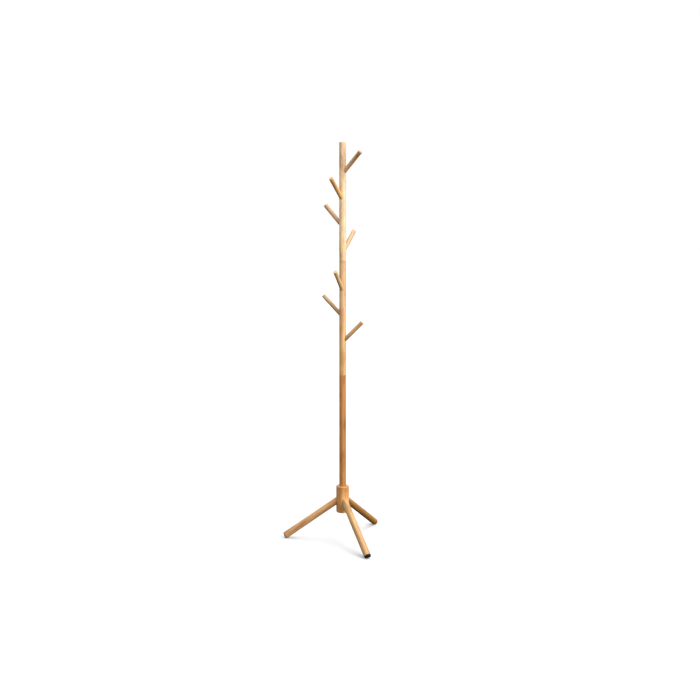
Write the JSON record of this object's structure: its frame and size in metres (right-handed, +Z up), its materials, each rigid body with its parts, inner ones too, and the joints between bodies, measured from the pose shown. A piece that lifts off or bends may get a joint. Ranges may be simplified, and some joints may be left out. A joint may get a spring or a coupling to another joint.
{
  "type": "standing coat rack",
  "caption": "Wooden standing coat rack: a slim round pole in screwed sections with slanted pegs, set in a cylindrical hub on splayed round legs.",
  "frame": {"origin": "on the floor, straight under the pole's axis, at the middle of the three feet", "axes": "+Z up along the pole; one leg points along -X, the other two are turned 120 degrees from it"},
  "size_m": [0.4119, 0.4712, 1.75],
  "materials": {
    "pole_wood": "clear satin lacquer on solid wood, grain along the pole",
    "hub_wood": "clear satin lacquer on solid wood, grain upright",
    "leg_wood": "clear satin lacquer on solid wood, grain along the leg",
    "peg_wood": "clear satin lacquer on solid wood, grain along the peg",
    "foot_rubber": "matt, dark brown",
    "stud_steel": "zinc plated",
    "insert_brass": "plain"
  },
  "bodies": {
    "root": {"hub": "hub_wood", "leg_left": "leg_wood", "leg_front": "leg_wood", "leg_back": "leg_wood", "foot_pad_left": "foot_rubber", "foot_pad_front": "foot_rubber", "foot_pad_back": "foot_rubber", "leg_stud_left": "stud_steel", "leg_stud_front": "stud_steel", "leg_stud_back": "stud_steel", "leg_insert_left": "insert_brass", "leg_insert_front": "insert_brass", "leg_insert_back": "insert_brass", "pole_bottom": "pole_wood", "pole_middle": "pole_wood", "pole_top": "pole_wood", "pole_stud_bottom": "stud_steel", "pole_stud_middle": "stud_steel", "pole_stud_top": "stud_steel", "pole_insert_bottom": "insert_brass", "pole_insert_middle": "insert_brass", "pole_insert_top": "insert_brass", "peg_1": "peg_wood", "peg_2": "peg_wood", "peg_3": "peg_wood", "peg_4": "peg_wood", "peg_5": "peg_wood", "peg_6": "peg_wood", "peg_7": "peg_wood", "peg_8": "peg_wood", "peg_stud_1": "stud_steel", "peg_stud_2": "stud_steel", "peg_stud_3": "stud_steel", "peg_stud_4": "stud_steel", "peg_stud_5": "stud_steel", "peg_stud_6": "stud_steel", "peg_stud_7": "stud_steel", "peg_stud_8": "stud_steel", "peg_insert_1": "insert_brass", "peg_insert_2": "insert_brass", "peg_insert_3": "insert_brass", "peg_insert_4": "insert_brass", "peg_insert_5": "insert_brass", "peg_insert_6": "insert_brass", "peg_insert_7": "insert_brass", "peg_insert_8": "insert_brass"}
  },
  "joints": []
}
